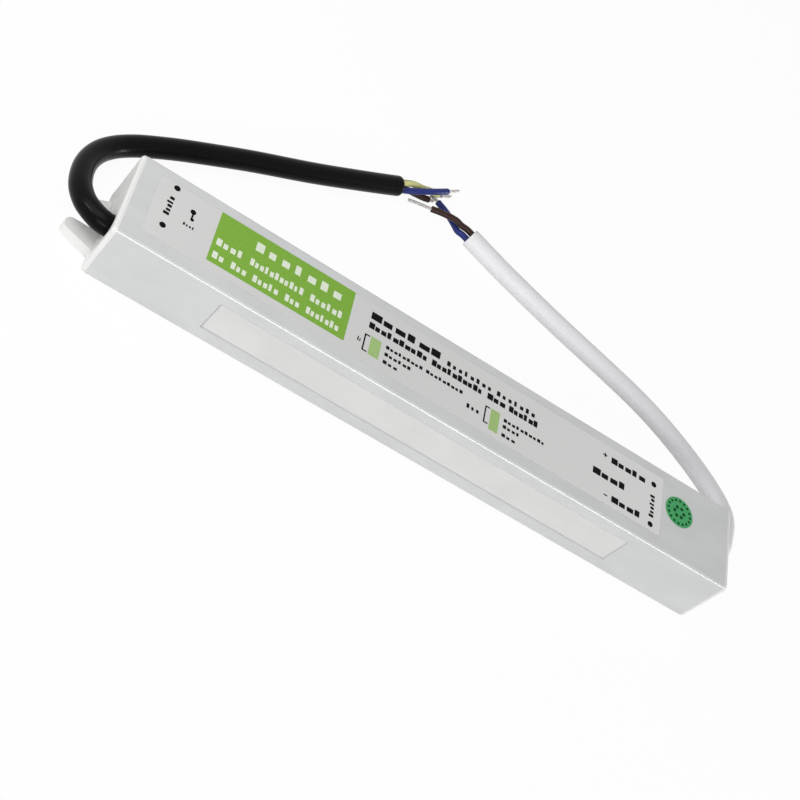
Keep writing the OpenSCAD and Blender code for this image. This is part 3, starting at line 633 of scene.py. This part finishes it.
# Black print: dots and turned words at both ends, a small sign, rows of words, two brackets
black_rows = [
    (-0.9, 0.1, 0.6, [(-87.6, -83.9, 4)]),
    (5.5, 8.1, 0.86, [(-28.7, -4.2, 6)]),
    (5, 6.8, 0.56, [(-2.6, 13.9, 8), (15, 29.6, 7)]),
    (2, 4.2, 0.88, [(-28.7, -8.5, 10), (-7.4, 10.6, 10), (12.1, 18.8, 3), (19.8, 30.4, 6)]),
    (-1.8, -0.6, 0.76, [(-22.2, -9.5, 9), (-8.6, 4.4, 9)]),
    (-4.4, -3.2, 0.76, [(-22.2, -13, 6)]),
    (-7.2, -6, 0.72, [(-22.2, -16.9, 3)]),
    (-2.7, -1.5, 0.76, [(18.7, 33.7, 10)]),
    (-5, -3.8, 0.72, [(18.7, 25.1, 4)]),
    (-8.1, -6.9, 0.72, [(18.7, 24, 3)]),
    (-4.6, -3, 0.5, [(-31.2, -29.8, 2)]),
    (-5.3, -3.7, 0.55, [(6, 11, 3)]),
    (5.6, 7.8, 0.88, [(57.2, 70.4, 5)]),
    (-1.6, 0.8, 0.88, [(51, 64, 4)]),
    (-8.2, -6, 0.88, [(58.6, 70.2, 4)]),
]
bracket_w = 0.45
bracket_arm = 1.7
bracket_low = -6.9
bracket_high = -0.7
black = [disc_outline(x, y, dot_r) for x, y in ((-92.3, 9.7), (-92.5, -4.9), (73.4, 7), (73.3, -8))]
black += turned(block_word(-0.9, 6.4, -0.9, 0.9, 5, 0.7), -92.8, 0)
black += turned(block_word(-5.3, 3.4, -0.85, 0.85, 6, 0.7), 73.3, 0)
black += [disc_outline(-86, 5, 0.85), disc_outline(-85.6, 2.3, 0.55), box_outline(-86.1, 2.2, -85.6, 5)]
black += block_rows(black_rows)
black += [box_outline(54, 6.95, 55.6, 7.35, 0.1), box_outline(54.6, 6.35, 55, 7.95, 0.1)]
black += [box_outline(55.7, -7.3, 57.1, -6.9, 0.1)]
for bracket_x in (-29.3, 12):
    black += [
        box_outline(bracket_x, bracket_low, bracket_x + bracket_w, bracket_high),
        box_outline(bracket_x, bracket_low, bracket_x + bracket_arm, bracket_low + bracket_w),
        box_outline(bracket_x, bracket_high - bracket_w, bracket_x + bracket_arm, bracket_high),
    ]
print_layer("label_black_print", black, black_ink, label_top)

# Green fields, and the pale rows on the large one
field = [box_outline(-78.5, -7.6, -35, 11, 0.2)]
print_layer("label_green_field", field, green_ink, label_top)
chips = [box_outline(-27.2, -7.2, -23.8, -0.5), box_outline(14.1, -8.3, 17.2, -0.7)]
print_layer("label_green_chips", chips, pale_green_ink, label_top)
pale_rows = [
    (5, 8.2, 0.6, [(-66.5, -37.2, 7)]),
    (-0.9, 1.6, 0.74, [(-77.4, -68.6, 4), (-66.8, -49.6, 11), (-47.6, -36.8, 6)]),
    (-5.8, -3.4, 0.74, [(-77.4, -73.2, 2), (-71.6, -66.4, 3), (-64.8, -56.4, 5)]),
    (-5.8, -3.4, 0.74, [(-54.6, -49.6, 3), (-47.8, -37, 7)]),
]
print_layer("label_pale_print", block_rows(pale_rows), white_ink, label_top + ink_t)

# Two rings of dots on the round sticker: count, radius of the ring, radius of a dot
sticker_mid = (sticker_low + sticker_high) / 2 / MM
sticker_rings = ((16, 4.15, 0.45), (6, 1.75, 0.6))
dots = []
for count, place_r, spot_r in sticker_rings:
    for k in range(count):
        turn = 2 * math.pi * k / count
        x = sticker_mid.x + place_r * math.cos(turn)
        y = sticker_mid.y + place_r * math.sin(turn)
        dots.append(disc_outline(x, y, spot_r, 14))
print_layer("sticker_dots", dots, dark_green_ink, sticker_high.z)

# Painted shadow: a thin grey line round three sides of the bare film on the front face, standing for the
# shade along the film's edge
panel_front = panel_low.y
x0, x1 = panel_low.x / MM, panel_high.x / MM
z0, z1 = panel_low.z / MM, panel_high.z / MM
line_w = 0.35
edge_shade_outlines = [
    box_outline(x0, z0, x0 + line_w, z1, 0.1),
    box_outline(x1 - line_w, z0, x1, z1, 0.1),
    box_outline(x0, z0, x1, z0 + line_w, 0.1),
]
print_layer("panel_edge_shade", edge_shade_outlines, edge_shade_ink, panel_front, face="front")


# Camera at the photograph's viewing angle, with its lens in millimetres
focal_length = 75.37
sensor_width = 36
camera_place = Vector((-163.93, -313.76, 327.63)) * MM
camera_target = Vector((-9.49, -6.05, 10.2)) * MM
camera_roll = math.radians(49.245)
lens = bpy.data.cameras.new("camera")
lens.lens = focal_length
lens.sensor_width = sensor_width
lens.clip_start = 0.01
lens.clip_end = 20
camera = bpy.data.objects.new("camera", lens)
bpy.context.scene.collection.objects.link(camera)
level = (camera_target - camera_place).to_track_quat("-Z", "Y").to_matrix().to_4x4()
camera.matrix_world = Matrix.Translation(camera_place) @ level @ Matrix.Rotation(camera_roll, 4, "Z")
bpy.context.scene.camera = camera


# Floor, white to the camera and to reflections, with a soft shadow left on it
floor_size = 8.0
floor_z = -0.02 * MM
floor_glow_share = 0.95
half = floor_size / 2
floor_mesh = bpy.data.meshes.new("floor")
floor_mesh.from_pydata(
    [(-half, -half, floor_z), (half, -half, floor_z), (half, half, floor_z), (-half, half, floor_z)],
    [],
    [(0, 1, 2, 3)],
)
floor = bpy.data.objects.new("floor", floor_mesh)
bpy.context.scene.collection.objects.link(floor)


def seen_rays(tree):
    """One for rays from the camera, in a reflection or through glass, and zero for the rest."""
    rays = tree.nodes.new("ShaderNodeLightPath")
    value = rays.outputs["Is Camera Ray"]
    for name in ("Is Glossy Ray", "Is Transmission Ray"):
        most = tree.nodes.new("ShaderNodeMath")
        most.operation = "MAXIMUM"
        tree.links.new(value, most.inputs[0])
        tree.links.new(rays.outputs[name], most.inputs[1])
        value = most.outputs["Value"]
    return value


floor_finish = material("floor", (0.9, 0.9, 0.9), 0.9, specular=0.0)
floor_mesh.materials.append(floor_finish)
tree = floor_finish.node_tree
glow = tree.nodes.new("ShaderNodeEmission")
glow.inputs["Strength"].default_value = 1
part = tree.nodes.new("ShaderNodeMath")
part.operation = "MULTIPLY"
part.inputs[1].default_value = floor_glow_share
tree.links.new(seen_rays(tree), part.inputs[0])
mix = tree.nodes.new("ShaderNodeMixShader")
tree.links.new(part.outputs["Value"], mix.inputs["Fac"])
tree.links.new(tree.nodes["Principled BSDF"].outputs["BSDF"], mix.inputs[1])
tree.links.new(glow.outputs["Emission"], mix.inputs[2])
tree.links.new(mix.outputs["Shader"], tree.nodes["Material Output"].inputs["Surface"])


# Light: the world is white where it is seen, and lights the part with less
world_seen = 1.0
world_light = 0.36
world = bpy.data.worlds.new("world")
bpy.context.scene.world = world
world.use_nodes = True
tree = world.node_tree
background = tree.nodes["Background"]
background.inputs["Color"].default_value = (1, 1, 1, 1)
power = tree.nodes.new("ShaderNodeMapRange")
power.inputs["To Min"].default_value = world_light
power.inputs["To Max"].default_value = world_seen
tree.links.new(seen_rays(tree), power.inputs["Value"])
tree.links.new(power.outputs["Result"], background.inputs["Strength"])


def soft_lamp(name, place, target, width, height, watts):
    """A flat lamp that faces a target."""
    lamp = bpy.data.lights.new(name, "AREA")
    lamp.shape = "RECTANGLE"
    lamp.size = width
    lamp.size_y = height
    lamp.energy = watts
    made = bpy.data.objects.new(name, lamp)
    made.location = place
    made.rotation_euler = (Vector(target) - Vector(place)).to_track_quat("-Z", "Y").to_euler()
    bpy.context.scene.collection.objects.link(made)


soft_lamp("front_lamp", (0.05, -0.85, 0.38), (0, 0, 0), 1.5, 0.22, 5.9)
soft_lamp("input_lamp", (-0.25, 0, 0.27), (-0.08, 0, 0), 0.25, 0.25, 0.46)
soft_lamp("rim_lamp", (-0.545, -0.03, 0.25), (-0.11, 0, 0.01), 0.05, 0.05, 0.36)
soft_lamp("output_lamp", (0.6, 0.05, 0.08), (0.11, 0.02, 0.01), 0.12, 0.12, 0.8)

bpy.context.scene.view_settings.view_transform = "Standard"
